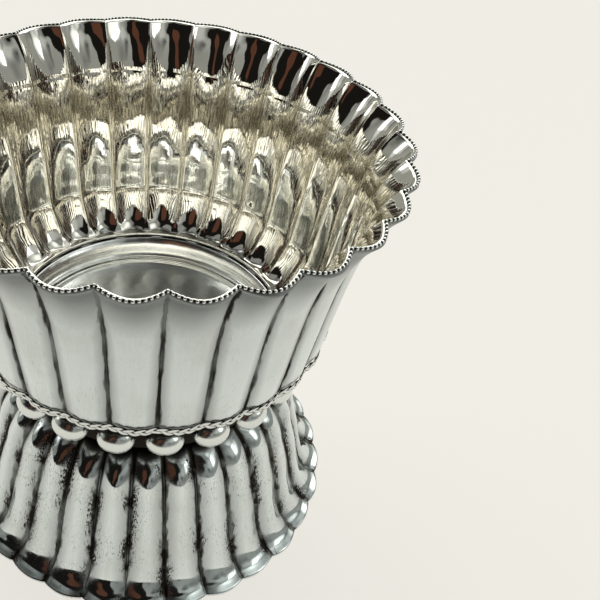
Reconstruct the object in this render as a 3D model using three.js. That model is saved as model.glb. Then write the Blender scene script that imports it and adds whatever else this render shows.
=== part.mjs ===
// A footed sugar bowl of fluted silver sheet, in millimetres, +Z up.
// The origin is at the middle of the base, on the surface that the foot stands on.
import * as THREE from 'three';

// Driving dimensions
const RIM_RADIUS = 54;            // to a crease at the rim
const RIM_HEIGHT = 110;           // of a crease at the rim
const SHEET = 1.2;                // thickness of the silver sheet
const SOLDER_GAP = 0.1;           // room between two soldered pieces
const STEPS_PER_FLUTE = 4;

// Flutes, and how far each ring of them is turned from the front (-Y)
const BOWL_FLUTES = 28;
const BOWL_TURN = 3.0;            // degrees
const FOOT_FLUTES = 30;
const FOOT_TURN = -4.4;           // degrees

// Applied pieces
const RIM_WIRE_RADIUS = 0.5;
const PLAIT_HALF_HEIGHT = 1.2;
const PLAIT_HALF_DEPTH = 0.7;
const PLAIT_Z = 63.2;
const BEADS = 22;
const BEAD_TURN = 6.5;            // degrees
const BEAD_RING_RADIUS = 38.9;
const BEAD_Z = 52.2;
const BEAD_SIZE = [4.4, 3.55, 3.55]; // half sizes: along the ring, across it, upright

// The drum under the bowl that the beads stand round, and the plate in it
const ROUND_SEGMENTS = 48;
const DRUM_RADIUS = 35.2;
const DRUM_BOTTOM = 44.6;
const NECK_RADIUS = 30.2;
const FLOOR_Z = 46.8;
const FLOOR_STEP_RADIUS = 31;
const FLOOR_STEP = 0.4;

// A station of a fluted outline: radius and height at a crease, how far the middle
// of the flute stands out from it, and how far it droops.
const station = (radius, z, bulge = 0, droop = 0) => ({ radius, z, bulge, droop });

// Outside of the bowl, from its open bottom, out and up to the rim
const BOWL_OUTSIDE = [
  station(35.2, 53.5),
  station(36.0, 55.2, 0.3),
  station(37.6, 56.8, 0.5),
  station(40.4, 58.4, 0.7),
  station(42.9, 61.2, 0.8),
  station(44.3, 64.8, 0.9),
  station(45.8, 74.9, 0.9),
  station(47.3, 87.3, 0.9),
  station(48.5, 95.0, 1.1),
  station(50.3, 102.2, 1.6, 0.2),
  station(52.2, 107.2, 2.0, 0.4),
  station(RIM_RADIUS, RIM_HEIGHT, 2.3, 0.55),
];

// Outside of the foot, from the middle of its closed top, out and down to the base
const FOOT_LIP_RADIUS = 52.6;
const FOOT_LIP_WIDTH = 2.2;
const FOOT_OUTSIDE = [
  station(0, 39.6),
  station(29, 39.6),
  station(33.2, 38.4, 0.5),
  station(36.6, 35.6, 0.9),
  station(38.9, 31.6, 1.1),
  station(40.9, 25.4, 1.1),
  station(43.1, 18.2, 1.1),
  station(45.3, 9.9, 1.1),
  station(47.6, 4.4, 1.1),
  station(50.2, 1.6, 1.1),
  station(FOOT_LIP_RADIUS, 0.7, 1.1),
];

const silver = (color, roughness) =>
  new THREE.MeshStandardMaterial({ color, roughness, metalness: 1 });

// Moves an open outline inwards by the sheet's thickness, along its normals.
// side is 1 where the metal's other face lies to the left of the outline's direction.
function offsetOutline(outline, side) {
  return outline.map((here, i) => {
    const before = outline[Math.max(i - 1, 0)];
    const after = outline[Math.min(i + 1, outline.length - 1)];
    const along = new THREE.Vector2(after.radius - before.radius, after.z - before.z).normalize();
    const radius = here.radius - side * along.y * SHEET;
    const onAxis = here.radius === 0;
    return { ...here, radius: onAxis ? 0 : radius, z: here.z + side * along.x * SHEET };
  });
}

// Turns a closed outline about Z and presses flutes into it: each point stands out
// from its crease by bulge * |sin| across a flute, and droops in the same way.
function flutedGeometry(outline, flutes) {
  const points = outline.map((s) => new THREE.Vector2(s.radius, s.z));
  const segments = flutes * STEPS_PER_FLUTE;
  const geometry = new THREE.LatheGeometry(points, segments);
  const position = geometry.attributes.position;
  for (let i = 0; i < position.count; i += 1) {
    const { radius, z, bulge, droop } = outline[i % outline.length];
    const step = Math.floor(i / outline.length) % segments;
    const angle = (step / segments) * 2 * Math.PI;
    const rise = Math.abs(Math.sin((Math.PI * step) / STEPS_PER_FLUTE));
    const reach = radius + bulge * rise;
    position.setXYZ(i, reach * Math.sin(angle), z - droop * rise, reach * Math.cos(angle));
  }
  return geometry.rotateX(Math.PI / 2);
}

// An oval wire section that closes on itself and carries one bulge and one droop
function wireOutline(centre, halfDepth, halfHeight, sides) {
  return Array.from({ length: sides + 1 }, (_, i) => {
    const angle = ((i % sides) / sides) * 2 * Math.PI;
    return station(
      centre.radius + halfDepth * Math.cos(angle),
      centre.z + halfHeight * Math.sin(angle),
      centre.bulge,
      centre.droop,
    );
  });
}

// The crease radius of an outline at a height
function radiusAt(outline, z) {
  const above = outline.findIndex((s) => s.z >= z);
  const low = outline[above - 1];
  const high = outline[above];
  return THREE.MathUtils.mapLinear(z, low.z, high.z, low.radius, high.radius);
}

function namedMesh(name, geometry, material, turnDegrees = 0) {
  const mesh = new THREE.Mesh(geometry, material);
  mesh.name = name;
  mesh.rotation.z = THREE.MathUtils.degToRad(turnDegrees);
  return mesh;
}

function makeBowl() {
  const inside = offsetOutline(BOWL_OUTSIDE, 1).reverse();
  const geometry = flutedGeometry([...BOWL_OUTSIDE, ...inside, BOWL_OUTSIDE[0]], BOWL_FLUTES);
  return namedMesh('bowl', geometry, silver(0xd9d8d2, 0.25), BOWL_TURN);
}

function makeRimWire() {
  const rim = BOWL_OUTSIDE.at(-1);
  const centre = station(
    rim.radius - SHEET / 2,
    rim.z + SHEET / 2 + RIM_WIRE_RADIUS + SOLDER_GAP,
    rim.bulge,
    rim.droop,
  );
  const outline = wireOutline(centre, RIM_WIRE_RADIUS, RIM_WIRE_RADIUS, 6);
  const geometry = flutedGeometry(outline, BOWL_FLUTES);
  return namedMesh('rim_bead_wire', geometry, silver(0xb9b8b2, 0.3), BOWL_TURN);
}

function makePlaitedWire() {
  const wall = radiusAt(BOWL_OUTSIDE, PLAIT_Z + PLAIT_HALF_HEIGHT);
  const centre = station(wall + PLAIT_HALF_DEPTH + SOLDER_GAP, PLAIT_Z, 0.9);
  const outline = wireOutline(centre, PLAIT_HALF_DEPTH, PLAIT_HALF_HEIGHT, 6);
  const geometry = flutedGeometry(outline, BOWL_FLUTES);
  return namedMesh('plaited_wire', geometry, silver(0xc8c7c1, 0.35), BOWL_TURN);
}

function makeBead(index) {
  const geometry = new THREE.SphereGeometry(1, 10, 6).rotateX(Math.PI / 2);
  geometry.scale(...BEAD_SIZE);
  const name = `bead_${String(index + 1).padStart(2, '0')}`;
  const turn = BEAD_TURN + (index * 360) / BEADS;
  const bead = namedMesh(name, geometry, silver(0xdedcd4, 0.2), turn);
  const angle = bead.rotation.z;
  bead.position.set(BEAD_RING_RADIUS * Math.sin(angle), -BEAD_RING_RADIUS * Math.cos(angle), BEAD_Z);
  return bead;
}

// A round piece turned from a closed outline of [radius, z] pairs
function turnedGeometry(outline) {
  const points = outline.map(([radius, z]) => new THREE.Vector2(radius, z));
  return new THREE.LatheGeometry(points, ROUND_SEGMENTS).rotateX(Math.PI / 2);
}

// The drum stands on the foot, carries the bowl and is drawn in below to a short neck
function makeCollar() {
  const top = BOWL_OUTSIDE[0].z - SOLDER_GAP;
  const bottom = FOOT_OUTSIDE[1].z + SOLDER_GAP;
  const inner = DRUM_RADIUS - SHEET;
  const middle = (DRUM_RADIUS + NECK_RADIUS) / 2;
  const geometry = turnedGeometry([
    [DRUM_RADIUS, top],
    [inner, top],
    [inner, DRUM_BOTTOM],
    [middle - SHEET, DRUM_BOTTOM - 1.9],
    [NECK_RADIUS - SHEET, bottom + 1.6],
    [NECK_RADIUS - SHEET, bottom],
    [NECK_RADIUS, bottom],
    [NECK_RADIUS, bottom + 1.2],
    [middle, DRUM_BOTTOM - 2.8],
    [DRUM_RADIUS, DRUM_BOTTOM],
    [DRUM_RADIUS, top],
  ]);
  return namedMesh('collar', geometry, silver(0x9b9a95, 0.35));
}

// The plate in the bottom of the bowl, with a disc raised in its middle
function makeFloorPlate() {
  const edge = DRUM_RADIUS - SHEET - SOLDER_GAP;
  const geometry = turnedGeometry([
    [0, FLOOR_Z - SHEET],
    [edge, FLOOR_Z - SHEET],
    [edge, FLOOR_Z],
    [FLOOR_STEP_RADIUS + FLOOR_STEP, FLOOR_Z],
    [FLOOR_STEP_RADIUS, FLOOR_Z + FLOOR_STEP],
    [0, FLOOR_Z + FLOOR_STEP],
  ]);
  return namedMesh('floor_plate', geometry, silver(0xc9c8c2, 0.2));
}

function makeFoot() {
  const inside = offsetOutline(FOOT_OUTSIDE.slice(0, -1), -1);
  const lip = [
    station(FOOT_LIP_RADIUS, 0, 1.1),
    station(FOOT_LIP_RADIUS - FOOT_LIP_WIDTH, 0, 1.1),
  ];
  const outline = [...FOOT_OUTSIDE, ...lip, ...inside.slice(0, -1).reverse()];
  const geometry = flutedGeometry(outline.reverse(), FOOT_FLUTES);
  return namedMesh('foot', geometry, silver(0xcfcec8, 0.3), FOOT_TURN);
}

const group = new THREE.Group();
group.add(makeBowl(), makeFloorPlate(), makeRimWire(), makePlaitedWire(), makeCollar(), makeFoot());
for (let i = 0; i < BEADS; i += 1) {
  group.add(makeBead(i));
}

export default group;
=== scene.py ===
import math

import bpy
import numpy as np
from mathutils import Matrix, Vector


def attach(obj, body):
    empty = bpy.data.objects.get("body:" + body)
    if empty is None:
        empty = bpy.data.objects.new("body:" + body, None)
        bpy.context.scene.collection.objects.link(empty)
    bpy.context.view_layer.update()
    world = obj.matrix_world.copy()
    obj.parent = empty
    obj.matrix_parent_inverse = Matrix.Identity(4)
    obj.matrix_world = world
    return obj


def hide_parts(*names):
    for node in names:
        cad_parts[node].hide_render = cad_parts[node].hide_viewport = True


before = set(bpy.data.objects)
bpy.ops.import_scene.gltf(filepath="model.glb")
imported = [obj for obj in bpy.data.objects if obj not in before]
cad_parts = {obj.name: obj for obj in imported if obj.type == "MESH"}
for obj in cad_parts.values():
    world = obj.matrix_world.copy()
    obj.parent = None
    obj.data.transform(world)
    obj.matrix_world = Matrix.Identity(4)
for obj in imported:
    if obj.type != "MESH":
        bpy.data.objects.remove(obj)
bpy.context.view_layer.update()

MM = 0.001
BODY = "root"

# Driving dimensions in millimetres. They follow the CAD part, except that the beads
# are up to 0.1 mm larger from their middle.
RIM_RADIUS = 54.0
RIM_HEIGHT = 110.0
SHEET = 1.2
BOWL_FLUTES, BOWL_TURN = 28, 3.0
FOOT_FLUTES, FOOT_TURN = 30, -4.4
BEADS, BEAD_TURN = 22, 6.5
BEAD_RING_RADIUS, BEAD_Z = 38.9, 52.2
BEAD_SIZE = (4.5, 3.6, 3.6)
PLAIT_Z = 63.2
RIM_BEADS = 13            # beads of the rim wire to each flute
DRUM_RADIUS, DRUM_BOTTOM, NECK_RADIUS = 35.2, 44.6, 30.2
FLOOR_Z, FLOOR_STEP_RADIUS = 46.8, 31.0

# Outlines, outside of the sheet: radius and height at a crease, bulge and droop of the
# middle of a flute, depth of the crease, and how much of the flute is a smooth land.
# The bowl's outline lies about 2 mm below the CAD part's under a height of 60 mm.
BOWL_OUTSIDE = [
    (35.2, 53.6, 0.0, 0.0, 0.0, 0.75),
    (36.6, 53.8, 0.6, 0.0, 0.0, 0.50),
    (38.2, 55.0, 1.1, 0.0, 0.0, 0.25),
    (40.3, 57.5, 1.3, 0.0, 0.1, 0.05),
    (42.4, 60.7, 1.25, 0.0, 0.25, 0.0),
    (44.2, 64.0, 1.0, 0.0, 0.3, 0.0),
    (45.0, 68.2, 0.9, 0.0, 0.3, 0.0),
    (45.8, 74.9, 0.9, 0.0, 0.35, 0.0),
    (47.3, 87.3, 0.9, 0.0, 0.35, 0.0),
    (48.5, 95.0, 1.1, 0.0, 0.3, 0.0),
    (50.3, 102.2, 1.6, 0.2, 0.2, 0.0),
    (52.2, 107.2, 2.0, 0.4, 0.15, 0.0),
    (RIM_RADIUS, RIM_HEIGHT, 2.3, 0.55, 0.1, 0.0),
]
FOOT_OUTSIDE = [
    (29.0, 39.6, 0.0, 0.0, 0.0, 0.0),
    (33.2, 38.4, 0.9, 0.0, 0.2, 0.15),
    (36.6, 35.6, 1.5, 0.0, 0.4, 0.12),
    (38.9, 31.6, 1.5, 0.0, 0.45, 0.04),
    (40.9, 25.4, 1.15, 0.0, 0.45, 0.0),
    (43.1, 18.2, 1.15, 0.0, 0.4, 0.0),
    (45.3, 9.9, 1.1, 0.0, 0.35, 0.0),
    (47.6, 4.4, 1.1, 0.0, 0.3, 0.0),
    (50.2, 1.6, 1.1, 0.0, 0.2, 0.0),
    (52.6, 0.7, 1.1, 0.0, 0.1, 0.0),
]
BOWL_STEPS, FOOT_STEPS = 5, 6     # rows of the mesh to each span of an outline
STEPS_PER_FLUTE = 26
TURNED_STEPS = 240
CREASE_WIDTH = 0.36       # half width of a crease, in millimetres
FAR_FROM_CREASE = 20.0    # distance given to surfaces that have no crease


# ---------------------------------------------------------------- mesh helpers

def smooth_outline(stations, steps):
    """A Hermite curve through the stations, with `steps` points to each span."""
    p = np.array(stations, float)
    gap = np.hypot(*np.diff(p[:, :2], axis=0).T)
    slope = np.diff(p, axis=0) / gap[:, None]
    tangent = np.empty_like(p)
    tangent[0], tangent[-1] = slope[0], slope[-1]
    left, right = gap[:-1, None], gap[1:, None]
    tangent[1:-1] = (slope[:-1] * right + slope[1:] * left) / (left + right)
    rows = [p[:1]]
    for i, length in enumerate(gap):
        u = np.linspace(0, 1, steps + 1)[1:, None]
        h00, h10 = 2 * u**3 - 3 * u**2 + 1, u**3 - 2 * u**2 + u
        h01, h11 = -2 * u**3 + 3 * u**2, u**3 - u**2
        start = h00 * p[i] + h10 * length * tangent[i]
        rows.append(start + h01 * p[i + 1] + h11 * length * tangent[i + 1])
    return np.vstack(rows)


def offset_outline(rows, distance):
    """The other face of the sheet: the outline moved to its left by `distance`."""
    along = np.gradient(rows[:, :2], axis=0)
    along /= np.linalg.norm(along, axis=1)[:, None]
    moved = rows.copy()
    moved[:, 0] -= along[:, 1] * distance
    moved[:, 1] += along[:, 0] * distance
    return moved


def flute_columns(flutes):
    """Angles round the piece, closer together near the creases, and each one's place
    across its flute, from 0 to 1."""
    even = np.arange(STEPS_PER_FLUTE) / STEPS_PER_FLUTE
    across = even - 0.8 * np.sin(2 * np.pi * even) / (2 * np.pi)
    place = np.tile(across, flutes)
    angle = (np.repeat(np.arange(flutes), STEPS_PER_FLUTE) + place) * 2 * np.pi / flutes
    return angle, place


def waves(angle, height, seed, count=14):
    """A gentle hand-made unevenness between about -1 and 1, periodic in angle."""
    rng = np.random.default_rng(seed)
    total = np.zeros(np.broadcast(angle, height).shape)
    for _ in range(count):
        turns = rng.integers(3, 46)
        rise = rng.uniform(-0.35, 0.35)
        total += np.sin(turns * angle + rise * height + rng.uniform(0, 2 * np.pi))
    return total / math.sqrt(count)


def fluted_grid(rows, flutes, turn, seed):
    """Points of a fluted face, row by row, and each one's distance to its crease."""
    rng = np.random.default_rng(seed)
    angle, place = flute_columns(flutes)
    which = np.repeat(np.arange(flutes), STEPS_PER_FLUTE)
    fullness = 1 + rng.normal(0, 0.07, flutes)[which]
    radius, z, bulge, droop, depth, land = [rows[:, i:i + 1] for i in range(6)]
    arch = np.maximum(np.abs(np.sin(np.pi * place)) - land, 0) / (1 - np.minimum(land, 0.97))
    rise = arch ** (1 + 0.6 * np.minimum(land, 1)) * fullness
    to_crease = np.minimum(place, 1 - place) * 2 * np.pi * radius / flutes
    near = np.exp(-((to_crease / CREASE_WIDTH) ** 2))
    reach = radius + bulge * rise - depth * near
    reach += 0.07 * waves(angle, z, seed + 1) * np.minimum(bulge, 1.0) * (1 - land) ** 2
    height = z - droop * rise
    facing = angle + math.radians(turn)
    grid = np.stack([reach * np.sin(facing), -reach * np.cos(facing), height], axis=-1)
    return grid, to_crease


def new_object(name, vertices, faces):
    mesh = bpy.data.meshes.new(name)
    mesh.from_pydata((np.asarray(vertices) * MM).tolist(), [], faces)
    mesh.polygons.foreach_set("use_smooth", [True] * len(mesh.polygons))
    mesh.update()
    obj = bpy.data.objects.new(name, mesh)
    bpy.context.scene.collection.objects.link(obj)
    return obj


def loop_faces(rows, columns, close_rows):
    """Quads over a grid of rows that close round their columns."""
    faces = []
    for r in range(rows if close_rows else rows - 1):
        low, high = r * columns, ((r + 1) % rows) * columns
        for c in range(columns):
            d = (c + 1) % columns
            faces.append((low + c, low + d, high + d, high + c))
    return faces


def cap(vertices, faces, start, columns, height, flip):
    """Closes a row with a fan to a point on the axis."""
    vertices.append((0.0, 0.0, height))
    tip = len(vertices) - 1
    for c in range(columns):
        edge = (start + c, start + (c + 1) % columns)
        faces.append((*(edge[::-1] if flip else edge), tip))


def store(obj, name, values):
    layer = obj.data.attributes.new(name, "FLOAT", "POINT")
    layer.data.foreach_set("value", np.asarray(values, np.float32).ravel())


def settle(obj, node, material):
    """Every piece stands for its CAD node, rides on the one body and has its material."""
    obj.data.materials.append(material)
    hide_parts(node)
    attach(obj, BODY)
    return obj


# ---------------------------------------------------------------- materials

def shader(name, color, roughness):
    material = bpy.data.materials.new(name)
    material.use_nodes = True
    tree = material.node_tree
    surface = tree.nodes["Principled BSDF"]
    surface.inputs["Base Color"].default_value = (*color, 1)
    surface.inputs["Metallic"].default_value = 1.0
    surface.inputs["Roughness"].default_value = roughness
    return material, tree, surface


def node(tree, kind, inputs=(), **settings):
    made = tree.nodes.new(kind)
    for key, value in settings.items():
        setattr(made, key, value)
    for key, value in dict(inputs).items():
        if isinstance(value, bpy.types.NodeSocket):
            tree.links.new(value, made.inputs[key])
        else:
            made.inputs[key].default_value = value
    return made


def place(tree, scale):
    """Object coordinates in millimetres, scaled apart along each axis."""
    coordinates = node(tree, "ShaderNodeTexCoord")
    factors = tuple(s * 1000 for s in scale)
    mapping = node(tree, "ShaderNodeMapping",
                   {"Vector": coordinates.outputs["Object"], "Scale": factors})
    return mapping.outputs["Vector"]


def noise_value(tree, scale, detail=2.0, roughness=0.5):
    """Noise with its own scale along each axis, in cycles to a millimetre."""
    made = node(tree, "ShaderNodeTexNoise",
                {"Vector": place(tree, scale), "Scale": 1.0, "Detail": detail,
                 "Roughness": roughness})
    return made.outputs["Fac"]


def math_value(tree, operation, a, b=0.0, clamp=False):
    made = node(tree, "ShaderNodeMath", {0: a, 1: b}, operation=operation, use_clamp=clamp)
    return made.outputs[0]


def remap(tree, value, low, high, to_low, to_high):
    made = node(tree, "ShaderNodeMapRange",
                {"Value": value, "From Min": low, "From Max": high,
                 "To Min": to_low, "To Max": to_high})
    return made.outputs["Result"]


def blend_color(tree, factor, low, high):
    made = node(tree, "ShaderNodeMix", {"Factor": factor}, data_type="RGBA")
    for socket, value in ((6, low), (7, high)):
        if isinstance(value, bpy.types.NodeSocket):
            tree.links.new(value, made.inputs[socket])
        else:
            made.inputs[socket].default_value = (*value, 1)
    return made.outputs[2]


def bump(tree, height, distance, normal=None):
    inputs = {"Height": height, "Distance": distance * MM, "Strength": 1.0}
    if normal is not None:
        inputs["Normal"] = normal
    return node(tree, "ShaderNodeBump", inputs).outputs["Normal"]


def attribute(tree, name):
    return node(tree, "ShaderNodeAttribute", attribute_name=name).outputs["Fac"]


WARM_SILVER = (0.81, 0.79, 0.725)
COOL_SILVER = (0.72, 0.775, 0.765)
TARNISH = (0.30, 0.27, 0.21)
# near black: the oxide of creases and crevices, also used by sheet_silver for painted shade
OXIDE_AND_SHADE = (0.020, 0.017, 0.013)


def sheet_silver(name, polish, mirror, line_width, smudge_and_shade, inner_tone=WARM_SILVER):
    """Rubbed outside with oxidised creases, painted shade beside them and painted shade where
    the meshes mark it, mirror inside with upright burnishing.
    """
    material, tree, surface = shader(name, COOL_SILVER, polish)
    inside, brushed = attribute(tree, "inside"), attribute(tree, "brushed")
    distance, painted_shade_and_soil = attribute(tree, "to_crease"), attribute(tree, "painted_shade_and_soil")
    outside = math_value(tree, "SUBTRACT", 1.0, inside)

    # the dark line down each crease, its edges ragged and its darkness uneven
    ragged = noise_value(tree, (0.7, 0.7, 0.11), 2.0, 0.5)
    reach = remap(tree, ragged, 0.32, 0.68, 0.35 * line_width, line_width)
    line = remap(tree, math_value(tree, "DIVIDE", distance, reach), 0.6, 1.4, 1.0, 0.0)
    uneven = noise_value(tree, (0.25, 0.25, 0.09), 3.0)
    line = math_value(tree, "MULTIPLY", line, remap(tree, uneven, 0.35, 0.6, 0.7, 1.0))
    # softer upright speckled smears beside it that come and go, partly soiling and partly
    # painted shade beside the crease
    speckle = noise_value(tree, (3.4, 3.4, 0.20), 4.0, 0.7)
    beside = remap(tree, distance, 0.3, 2.6, 1.0, 0.0)
    patch = noise_value(tree, (0.16, 0.16, 0.07), 2.0, 0.6)
    patch = remap(tree, patch, 0.40, 0.56, 0.0, 1.0)
    smear_and_shade = math_value(tree, "ADD", speckle, math_value(tree, "MULTIPLY", beside, 0.30))
    smear_and_shade = math_value(tree, "MULTIPLY", remap(tree, smear_and_shade, 0.56, 0.70, 0.0, smudge_and_shade), patch)
    # painted shade: a soft darkening that fades out from every crease
    soft = remap(tree, distance, 0.2, 0.9 + line_width * 2, 0.5, 0.0)
    # soiling and painted shade: the stronger of the smears and the painted crease shade
    dirt_and_painted_shade = math_value(tree, "MAXIMUM", soft, smear_and_shade)
    # all the darkening together, the oxidised line, soiling and painted shade, on the outside
    # only
    dark = math_value(tree, "MAXIMUM", line, math_value(tree, "MAXIMUM", dirt_and_painted_shade, painted_shade_and_soil))
    dark = math_value(tree, "MULTIPLY", dark, outside, True)

    cloud = noise_value(tree, (0.08, 0.08, 0.05), 4.0, 0.6)
    tone = blend_color(tree, inside, COOL_SILVER, inner_tone)
    tone = blend_color(tree, remap(tree, cloud, 0.45, 0.75, 0.0, 0.22), tone, TARNISH)
    strokes = remap(tree, noise_value(tree, (1.9, 1.9, 0.03), 2.0, 0.6), 0.45, 0.66, 0.0, 0.5)
    tone = blend_color(tree, math_value(tree, "MULTIPLY", strokes, brushed), tone, TARNISH)
    tone = blend_color(tree, dark, tone, OXIDE_AND_SHADE)
    tree.links.new(tone, surface.inputs["Base Color"])

    fine = noise_value(tree, (0.9, 0.9, 0.9), 3.0)
    rough = remap(tree, inside, 0, 1, polish, mirror)
    rough = math_value(tree, "ADD", rough, math_value(tree, "MULTIPLY", dark, 0.35))
    tree.links.new(rough, surface.inputs["Roughness"])
    streak = noise_value(tree, (0.85, 0.85, 0.05), 1.5, 0.5)
    marks = math_value(tree, "MULTIPLY", streak, brushed)
    normal = bump(tree, marks, 0.06)
    planish = noise_value(tree, (0.13, 0.13, 0.08), 1.0)
    normal = bump(tree, planish, 0.03, normal)
    smooth = math_value(tree, "SUBTRACT", inside, brushed, True)
    dents = math_value(tree, "MULTIPLY", noise_value(tree, (0.17, 0.17, 0.11), 1.0), smooth)
    normal = bump(tree, dents, 0.22, normal)
    tree.links.new(bump(tree, fine, 0.004, normal), surface.inputs["Normal"])
    return material


def wire_silver(name, roughness, low, high):
    """Silver rubbed bright where it stands proud and black between, by `worn`."""
    material, tree, surface = shader(name, COOL_SILVER, roughness)
    cloud = noise_value(tree, (0.9, 0.9, 0.9), 3.0, 0.6)
    worn = math_value(tree, "ADD", attribute(tree, "worn"), remap(tree, cloud, 0, 1, -0.2, 0.2))
    bright = remap(tree, worn, low, high, 0.0, 1.0)
    tone = blend_color(tree, bright, OXIDE_AND_SHADE, (0.74, 0.765, 0.735))
    tree.links.new(tone, surface.inputs["Base Color"])
    tree.links.new(remap(tree, bright, 0, 1, 0.5, roughness), surface.inputs["Roughness"])
    scratch = noise_value(tree, (1.2, 1.2, 6.0), 3.0, 0.6)
    tree.links.new(bump(tree, scratch, 0.006), surface.inputs["Normal"])
    return material


# ---------------------------------------------------------------- pieces

def ramp(values, low, high):
    """0 below `low`, 1 above `high` and a straight slope between."""
    return np.clip((np.asarray(values, float) - low) / (high - low), 0, 1)


def dress(obj, to_crease, inside, brushed, painted_shade_and_soil):
    for name, values in (("to_crease", to_crease), ("inside", inside),
                         ("brushed", brushed), ("painted_shade_and_soil", painted_shade_and_soil)):
        store(obj, name, values)


def make_bowl(material):
    outer = smooth_outline(BOWL_OUTSIDE, BOWL_STEPS)
    inner = offset_outline(outer, SHEET)
    out_grid, out_crease = fluted_grid(outer, BOWL_FLUTES, BOWL_TURN, 11)
    in_grid, in_crease = fluted_grid(inner, BOWL_FLUTES, BOWL_TURN, 11)
    brim = (out_grid[-1:] + in_grid[-1:]) / 2 + [0, 0, 0.22]
    grid = np.concatenate([out_grid, brim, in_grid[::-1]])
    rows, columns = grid.shape[:2]
    obj = new_object("bowl_sheet", grid.reshape(-1, 3), loop_faces(rows, columns, True))
    z = grid[..., 2]
    inside = np.concatenate([np.zeros((len(outer) + 1, columns)), np.ones(in_crease.shape)])
    brushed = ramp(z, 62, 65) * (1.1 - 0.5 * ramp(z, 69, 73) + 0.4 * ramp(z, 83, 91))
    brushed *= 1 - ramp(z, 98, 100)
    brushed *= (1 + 0.5 * ramp(z, 91, 95)) * (0.12 + 0.88 * inside)
    # through the soil attribute, outside only: darker just below the plait, painted shade under
    # the rim and painted shade on the underside below 61.5 mm
    beside_plait = np.exp(-((z - PLAIT_Z + 0.5) / 1.1) ** 2)
    under_rim = 0.13 * ramp(z, 68, 95) + 0.48 * ramp(z, 95, 106)
    painted_shade_and_soil = np.maximum(0.95 * beside_plait, 1 - ramp(z, 58, 61.5))
    painted_shade_and_soil = np.maximum(painted_shade_and_soil, under_rim) * (1 - inside)
    # painted shade on the brim row under the wire
    painted_shade_and_soil[len(outer)] = 0.8
    crease = np.concatenate([out_crease, out_crease[-1:] + FAR_FROM_CREASE, in_crease[::-1]])
    dress(obj, crease, inside, brushed, painted_shade_and_soil)
    return settle(obj, "bowl", material)


def make_foot(material):
    outer = smooth_outline(FOOT_OUTSIDE, FOOT_STEPS)
    inner = offset_outline(outer, -SHEET)
    out_grid, out_crease = fluted_grid(outer, FOOT_FLUTES, FOOT_TURN, 23)
    in_grid, in_crease = fluted_grid(inner, FOOT_FLUTES, FOOT_TURN, 23)
    in_grid[..., 2] = np.maximum(in_grid[..., 2], 0)
    lip = out_grid[-1:].copy()
    lip[..., 2] = 0
    grid = np.concatenate([out_grid, lip, in_grid[::-1]])
    rows, columns = grid.shape[:2]
    vertices = grid.reshape(-1, 3).tolist()
    faces = [f[::-1] for f in loop_faces(rows, columns, False)]
    top = FOOT_OUTSIDE[0][1]
    cap(vertices, faces, 0, columns, top, False)
    cap(vertices, faces, (rows - 1) * columns, columns, top - SHEET, True)
    obj = new_object("foot_sheet", vertices, faces)
    far = np.full(columns, FAR_FROM_CREASE)
    crease = np.concatenate([out_crease.ravel(), far, in_crease[::-1].ravel(), far[:2]])
    z = np.array([v[2] for v in vertices])
    underside = np.arange(len(vertices)) >= (len(outer) + 1) * columns
    brushed = 0.15 * ramp(z, 4, 8) * (1 - ramp(z, 30, 34))
    # painted shade through the soil attribute: on the shoulders between the creases, on the top
    # under the beads and, more lightly, on the inner face
    between = ramp(z, 31, 35.5) * (1 - ramp(crease, 0.5, 1.6))
    painted_shade_and_soil = np.maximum(np.maximum(ramp(z, 37.4, 39.0), between), 0.35 * underside)
    dress(obj, crease, np.zeros(len(vertices)), brushed, painted_shade_and_soil)
    return settle(obj, "foot", material)


def turned(name, outline):
    """A piece turned round the axis from a closed outline of radius and height."""
    points = np.array(outline, float)
    angle = np.linspace(0, 2 * np.pi, TURNED_STEPS, endpoint=False)
    grid = np.stack([np.outer(points[:, 0], np.cos(angle)),
                     np.outer(points[:, 0], np.sin(angle)),
                     np.outer(points[:, 1], np.ones(TURNED_STEPS))], axis=-1)
    return new_object(name, grid.reshape(-1, 3), loop_faces(len(points), TURNED_STEPS, True))


def make_collar(material):
    top = BOWL_OUTSIDE[0][1] - 0.1
    bottom = FOOT_OUTSIDE[0][1] + 0.1
    drum = [(DRUM_RADIUS - 0.7, top), (DRUM_RADIUS, top)]
    curve = smooth_outline([(DRUM_RADIUS, DRUM_BOTTOM + 1),
                            (DRUM_RADIUS - 0.6, DRUM_BOTTOM - 0.8),
                            ((DRUM_RADIUS + NECK_RADIUS) / 2, DRUM_BOTTOM - 2.6),
                            (NECK_RADIUS + 0.2, bottom + 1.0), (NECK_RADIUS, bottom)], 6)
    inner = [(max(r - SHEET, NECK_RADIUS - SHEET), z) for r, z in curve[::-1]]
    inner.append((DRUM_RADIUS - 1.9, FLOOR_Z + 0.1))
    outline = [*drum, *curve.tolist(), *inner]
    obj = turned("collar_drum", outline[::-1])
    # the outer face of the drum is painted dark through the soil attribute: oxide and painted
    # shade behind the beads
    outer = np.array([0] * len(inner) + [1] * (len(curve) + 1) + [0], float)
    outer = np.repeat(outer, TURNED_STEPS)
    zero = np.zeros(len(outer))
    dress(obj, zero + FAR_FROM_CREASE, 1 - outer, zero, outer)
    return settle(obj, "collar", material)


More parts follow.
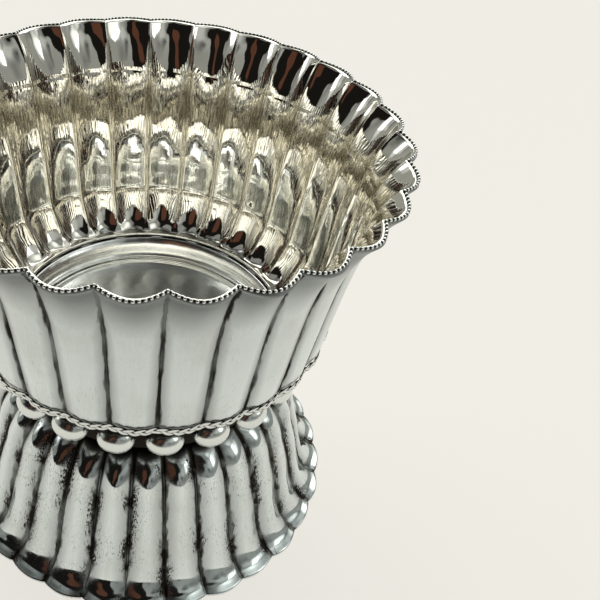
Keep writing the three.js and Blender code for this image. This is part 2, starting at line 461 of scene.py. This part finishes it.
def make_floor(material):
    edge = DRUM_RADIUS - 2.0
    step = FLOOR_STEP_RADIUS
    outline = [(0.01, FLOOR_Z - SHEET), (edge, FLOOR_Z - SHEET), (edge, FLOOR_Z - 0.1),
               (edge - 0.25, FLOOR_Z + 0.1), (edge - 0.55, FLOOR_Z), (step + 1.2, FLOOR_Z),
               (step + 0.7, FLOOR_Z + 0.12), (step + 0.3, FLOOR_Z + 0.34),
               (step - 0.2, FLOOR_Z + 0.4), (step - 1.2, FLOOR_Z + 0.38),
               (10.0, FLOOR_Z + 0.2), (0.01, FLOOR_Z + 0.18)]
    obj = turned("bowl_floor", outline)
    zero = np.zeros(len(outline) * TURNED_STEPS)
    dress(obj, zero + FAR_FROM_CREASE, zero + 1, zero + 0.03, zero)
    return settle(obj, "floor_plate", material)


def rim_path(count):
    """Points along the scalloped rim, in the middle of its bead wire."""
    u = np.linspace(0, 1, count, endpoint=False)
    rise = np.abs(np.sin(np.pi * u * BOWL_FLUTES))
    angle = u * 2 * np.pi + math.radians(BOWL_TURN)
    reach = RIM_RADIUS - 0.4 + 2.3 * rise
    return np.stack([reach * np.sin(angle), -reach * np.cos(angle),
                     RIM_HEIGHT + 0.7 - 0.55 * rise], axis=-1)


def even_points(path, count):
    """Points at equal steps along a closed path."""
    loop = np.vstack([path, path[:1]])
    run = np.concatenate([[0], np.cumsum(np.linalg.norm(np.diff(loop, axis=0), axis=1))])
    at = np.arange(count) / count * run[-1]
    return np.stack([np.interp(at, run, loop[:, i]) for i in range(3)], axis=-1)


def ball(rings, sides):
    """A unit ball: points and faces."""
    points, faces = [(0.0, 0.0, 1.0)], []
    for r in range(1, rings):
        tilt = math.pi * r / rings
        for s in range(sides):
            turn = 2 * math.pi * s / sides
            points.append((math.sin(tilt) * math.cos(turn), math.sin(tilt) * math.sin(turn),
                           math.cos(tilt)))
    points.append((0.0, 0.0, -1.0))
    last = len(points) - 1
    for s in range(sides):
        t = (s + 1) % sides
        faces.append((0, 1 + s, 1 + t))
        for r in range(rings - 2):
            low, high = 1 + r * sides, 1 + (r + 1) * sides
            faces.append((low + s, high + s, high + t, low + t))
        faces.append((1 + (rings - 2) * sides + s, last, 1 + (rings - 2) * sides + t))
    return np.array(points), faces


def swept(path, across, upright, half_width, half_depth, sides):
    """A closed strand along a closed path, with an oval section."""
    turn = 2 * np.pi * np.arange(sides) / sides
    grid = (path[:, None] + half_width * np.cos(turn)[None, :, None] * across[:, None]
            + half_depth * np.sin(turn)[None, :, None] * upright[:, None])
    return grid.reshape(-1, 3), loop_faces(len(path), sides, True)


def join_parts(parts):
    vertices, faces, start = [], [], 0
    for points, polygons in parts:
        vertices.append(points)
        faces += [tuple(i + start for i in f) for f in polygons]
        start += len(points)
    return np.concatenate(vertices), faces


def make_rim_wire(material):
    path = rim_path(BOWL_FLUTES * 40)
    ahead = np.roll(path, -1, 0) - np.roll(path, 1, 0)
    ahead /= np.linalg.norm(ahead, axis=1)[:, None]
    up = np.tile([0.0, 0.0, 1.0], (len(path), 1))
    across = np.cross(ahead, up)
    core = swept(path, across, up, 0.24, 0.24, 8)
    points, faces = ball(8, 12)
    rng = np.random.default_rng(5)
    centres = even_points(path, BOWL_FLUTES * RIM_BEADS)
    forward = np.roll(centres, -1, 0) - np.roll(centres, 1, 0)
    forward /= np.linalg.norm(forward, axis=1)[:, None]
    along = points @ forward.T
    beads = [((points * 0.37 + np.outer(along[:, i], f) * 0.09) * rng.uniform(0.94, 1.05)
              + centres[i], faces) for i, f in enumerate(forward)]
    obj = new_object("rim_beads", *join_parts([core, *beads]))
    proud = 1 - np.abs(along).T
    store(obj, "worn", np.concatenate([np.zeros(len(core[0])), proud.ravel()]))
    return settle(obj, "rim_bead_wire", material)


def make_plait(material):
    turns, steps, strands = 40, 30, 3
    count = turns * steps
    u = np.arange(count) / count
    angle = 2 * np.pi * u + math.radians(BOWL_TURN)
    rise = np.abs(np.sin(np.pi * u * BOWL_FLUTES))
    parts, worn = [], []
    outward = np.stack([np.sin(angle), -np.cos(angle), np.zeros(count)], axis=-1)
    for k in range(strands):
        phase = 2 * np.pi * (u * turns + k / strands)
        lift = 0.60 * np.sin(phase)
        out = 0.11 * np.sin(2 * phase)
        reach = 44.6 + 0.9 * rise + out
        path = np.stack([reach * np.sin(angle), -reach * np.cos(angle), PLAIT_Z + lift], axis=-1)
        ahead = np.roll(path, -1, 0) - np.roll(path, 1, 0)
        ahead /= np.linalg.norm(ahead, axis=1)[:, None]
        across = np.cross(ahead, outward)
        across /= np.linalg.norm(across, axis=1)[:, None]
        parts.append(swept(path, across, outward, 0.56, 0.13, 12))
        edge = np.abs(np.cos(2 * np.pi * np.arange(12) / 12))
        worn.append(((1 - edge)[None, :] * 0.9 + (out / 0.11 * 0.15)[:, None]).ravel())
    obj = new_object("plaited_band", *join_parts(parts))
    store(obj, "worn", np.concatenate(worn))
    return settle(obj, "plaited_wire", material)


def make_beads(material):
    points, faces = ball(28, 44)
    for i in range(BEADS):
        rng = np.random.default_rng(100 + i)
        turn = math.radians(BEAD_TURN) + 2 * math.pi * i / BEADS
        size = np.array(BEAD_SIZE) * rng.uniform(0.985, 1.0, 3)
        uneven = 1 + 0.012 * np.sin(points @ rng.normal(0, 3, 3) + rng.uniform(0, 6))
        local = points * size * uneven[:, None]
        spin = np.array([[math.cos(turn), -math.sin(turn), 0],
                         [math.sin(turn), math.cos(turn), 0], [0, 0, 1]])
        centre = np.array([BEAD_RING_RADIUS * math.sin(turn),
                           -BEAD_RING_RADIUS * math.cos(turn), BEAD_Z])
        name = f"bead_{i + 1:02d}"
        obj = new_object(f"oval_{name}", local @ spin.T + centre, faces)
        store(obj, "worn", 0.5 - 0.9 * points[:, 1] - 0.35 * np.abs(points[:, 0]) ** 3)
        settle(obj, name, material)


# ---------------------------------------------------------------- stage

# Directions in the room: aim, stretch, inner and outer reach, colour
WINDOWS = [
    ((0.05, 0.64, 0.77), (0.40, 0.95, 1.15), 0.30, 0.46, (2.6, 2.6, 2.46)),
    ((0.85, -0.22, 0.48), (1.0, 1.3, 1.3), 0.15, 0.42, (1.25, 1.3, 1.26)),
    ((0.50, -0.10, 0.86), (1.0, 1.3, 1.0), 0.12, 0.34, (1.3, 1.35, 1.3)),
    ((-0.90, 0.28, 0.34), (1.0, 1.2, 1.4), 0.12, 0.35, (1.1, 1.15, 1.12)),
]
DARK_SHAPES = [
    ((-0.50, -0.71, 0.50), (0.64, 0.64, 0.80), 0.47, 0.50, (0.010, 0.009, 0.008)),
    ((-0.40, -0.70, 0.57), (1.5, 1.5, 0.66), 0.30, 0.33, (0.105, 0.045, 0.028)),
]


def make_camera():
    data = bpy.data.cameras.new("camera")
    camera = bpy.data.objects.new("camera", data)
    bpy.context.scene.collection.objects.link(camera)
    place_m = Vector((0.0, -148.5, 194.7)) * MM
    aim = Vector((16.6, -1.9, 58.1)) * MM
    level = (place_m - aim).to_track_quat("Z", "Y").to_matrix().to_4x4()
    camera.matrix_world = (Matrix.Translation(place_m) @ level
                           @ Matrix.Rotation(math.radians(6.55), 4, "Z"))
    data.sensor_width = 36.0
    data.lens = 46.66
    data.shift_x = 0.1425
    data.shift_y = 0.0217
    data.clip_start = 0.01
    bpy.context.scene.camera = camera


def make_floor_plane():
    size = 6.0
    mesh = bpy.data.meshes.new("table")
    corners = [(-size, -size, 0), (size, -size, 0), (size, size, 0), (-size, size, 0)]
    mesh.from_pydata(corners, [], [(0, 1, 2, 3)])
    floor = bpy.data.objects.new("table", mesh)
    bpy.context.scene.collection.objects.link(floor)
    material = bpy.data.materials.new("table_paper")
    material.use_nodes = True
    surface = material.node_tree.nodes["Principled BSDF"]
    surface.inputs["Base Color"].default_value = (0.22, 0.21, 0.195, 1)
    surface.inputs["Roughness"].default_value = 0.9
    surface.inputs["Specular IOR Level"].default_value = 0.0
    surface.inputs["Emission Color"].default_value = (0.863, 0.840, 0.783, 1)
    surface.inputs["Emission Strength"].default_value = 0.80
    mesh.materials.append(material)


def area_light(name, location, aim, size, power):
    data = bpy.data.lights.new(name, "AREA")
    data.shape = "RECTANGLE"
    data.size, data.size_y = size
    data.energy = power
    light = bpy.data.objects.new(name, data)
    bpy.context.scene.collection.objects.link(light)
    light.location = location
    light.rotation_euler = (Vector(location) - Vector(aim)).to_track_quat("Z", "Y").to_euler()


def near_direction(tree, direction, aim, stretch, inner, outer, warp):
    """1 within `inner` of a direction, falling to 0 at `outer`, with a warped edge."""
    offset = node(tree, "ShaderNodeVectorMath", {0: direction, 1: aim}, operation="SUBTRACT")
    scaled = node(tree, "ShaderNodeVectorMath", {0: offset.outputs[0], 1: stretch},
                  operation="MULTIPLY")
    length = node(tree, "ShaderNodeVectorMath", {0: scaled.outputs[0]}, operation="LENGTH")
    away = math_value(tree, "ADD", length.outputs["Value"], warp)
    return remap(tree, away, inner, outer, 1.0, 0.0)


def make_world():
    """A grey room, darker to the left above and lighter to the right and behind, with bright
    windows and a dark and brown part behind the camera.
    """
    world = bpy.data.worlds.new("studio")
    bpy.context.scene.world = world
    world.use_nodes = True
    tree = world.node_tree
    background = tree.nodes["Background"]
    direction = node(tree, "ShaderNodeTexCoord").outputs["Generated"]
    split = node(tree, "ShaderNodeSeparateXYZ", {"Vector": direction})
    soft = node(tree, "ShaderNodeTexNoise",
                {"Vector": direction, "Scale": 3.0, "Detail": 0.0}).outputs["Fac"]
    clutter = remap(tree, soft, 0.38, 0.62, 0.0, 1.0)
    right = remap(tree, split.outputs["X"], -0.1, 0.6, 0.0, 1.0)
    dim = blend_color(tree, clutter, (0.07, 0.075, 0.07), (0.26, 0.27, 0.26))
    light = blend_color(tree, clutter, (0.18, 0.19, 0.18), (0.55, 0.57, 0.55))
    upper = blend_color(tree, right, dim, light)
    lower = blend_color(tree, clutter, (0.15, 0.155, 0.15), (0.32, 0.33, 0.31))
    back = remap(tree, split.outputs["Y"], -0.1, 0.5, 0.0, 1.0)
    lower = blend_color(tree, back, lower, (0.36, 0.37, 0.34))
    tone = blend_color(tree, remap(tree, split.outputs["Z"], 0.25, 0.45, 0.0, 1.0),
                       lower, upper)
    warp = remap(tree, soft, 0.3, 0.7, -0.12, 0.12)
    for aim, stretch, inner, outer, glow in WINDOWS:
        pane = near_direction(tree, direction, aim, stretch, inner, outer, warp)
        tone = blend_color(tree, pane, tone, glow)
    for aim, stretch, inner, outer, shade in DARK_SHAPES:
        shape = near_direction(tree, direction, aim, stretch, inner, outer, warp)
        tone = blend_color(tree, shape, tone, shade)
    tree.links.new(tone, background.inputs["Color"])
    background.inputs["Strength"].default_value = 1.0


def make_stage():
    make_camera()
    make_floor_plane()
    make_world()
    area_light("left_window", (-0.90, 0.30, 0.55), (0, 0, 0.06), (0.30, 0.40), 0.5)
    area_light("right_window", (0.85, -0.30, 0.60), (0, 0, 0.06), (0.25, 0.40), 0.45)
    scene = bpy.context.scene
    scene.view_settings.view_transform = "Standard"
    scene.view_settings.look = "None"
    scene.cycles.use_denoising = True
    scene.cycles.max_bounces = 16
    scene.cycles.glossy_bounces = 12


# ---------------------------------------------------------------- assembly

make_stage()
bowl_silver = sheet_silver("bowl_silver", 0.24, 0.03, 0.95, 0.3)
foot_silver = sheet_silver("foot_silver", 0.06, 0.06, 1.45, 1.0)
collar_silver = sheet_silver("collar_silver", 0.3, 0.20, 0.5, 0.3, (0.94, 0.95, 0.93))
floor_silver = sheet_silver("floor_silver", 0.2, 0.24, 0.5, 0.3, (0.95, 0.97, 0.945))
make_bowl(bowl_silver)
make_foot(foot_silver)
make_collar(collar_silver)
make_floor(floor_silver)
make_rim_wire(wire_silver("rim_wire_silver", 0.22, 0.25, 0.6))
make_plait(wire_silver("plait_silver", 0.3, 0.25, 0.6))
make_beads(wire_silver("bead_silver", 0.2, -0.3, 0.2))
